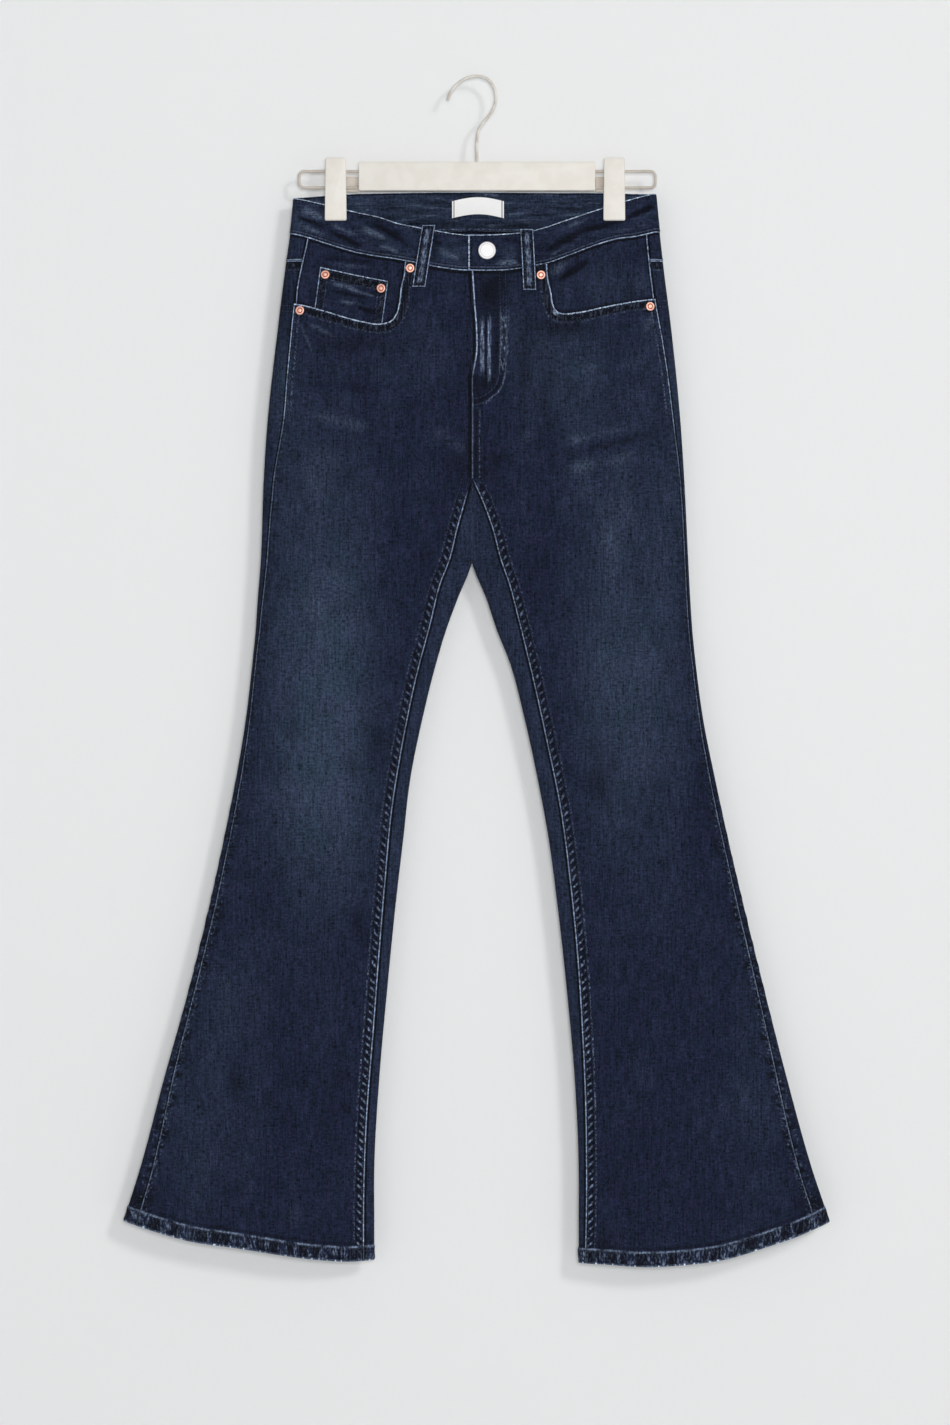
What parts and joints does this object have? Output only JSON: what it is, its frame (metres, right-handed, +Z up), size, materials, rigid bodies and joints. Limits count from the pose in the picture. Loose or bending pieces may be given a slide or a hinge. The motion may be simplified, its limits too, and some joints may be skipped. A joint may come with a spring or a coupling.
{
  "type": "bootcut jeans on clip hanger",
  "caption": "Low-rise bootcut jeans in dark washed denim, hung flat by the waistband from a plain clip hanger with a wire hook.",
  "frame": {"origin": "inside crown of the hanger's hook, where a peg or rail holds it", "axes": "+Z up along the hanging garment, -Y towards the viewer of its front, +X to that viewer's right"},
  "size_m": [0.7077, 0.0506, 1.1952],
  "materials": {
    "denim": "dark indigo washed stretch denim, matt twill",
    "denim_dark": "unfaded dark indigo denim",
    "label": "plain white woven tape",
    "button": "pale silver shank button",
    "copper": "bright copper rivet",
    "hanger_plastic": "cream, satin",
    "hanger_wire": "cream, satin"
  },
  "bodies": {
    "root": {"front_left": "denim", "front_right": "denim", "back_left": "denim", "back_right": "denim", "yoke_left": "denim", "yoke_right": "denim", "waistband": "denim", "pocket_facing_left": "denim_dark", "pocket_facing_right": "denim_dark", "coin_pocket": "denim", "back_pocket_left": "denim", "back_pocket_right": "denim", "belt_loop_front_left": "denim", "belt_loop_front_right": "denim", "belt_loop_back_left": "denim", "belt_loop_back_middle": "denim", "belt_loop_back_right": "denim", "label": "label", "button": "button", "rivet_coin_outer": "copper", "rivet_coin_inner": "copper", "rivet_left_outer": "copper", "rivet_left_inner": "copper", "rivet_right_inner": "copper", "rivet_right_outer": "copper", "hanger_bar": "hanger_plastic", "hanger_clip_left": "hanger_plastic", "hanger_clip_right": "hanger_plastic", "hanger_wire": "hanger_wire", "hanger_hook": "hanger_wire"}
  },
  "joints": []
}
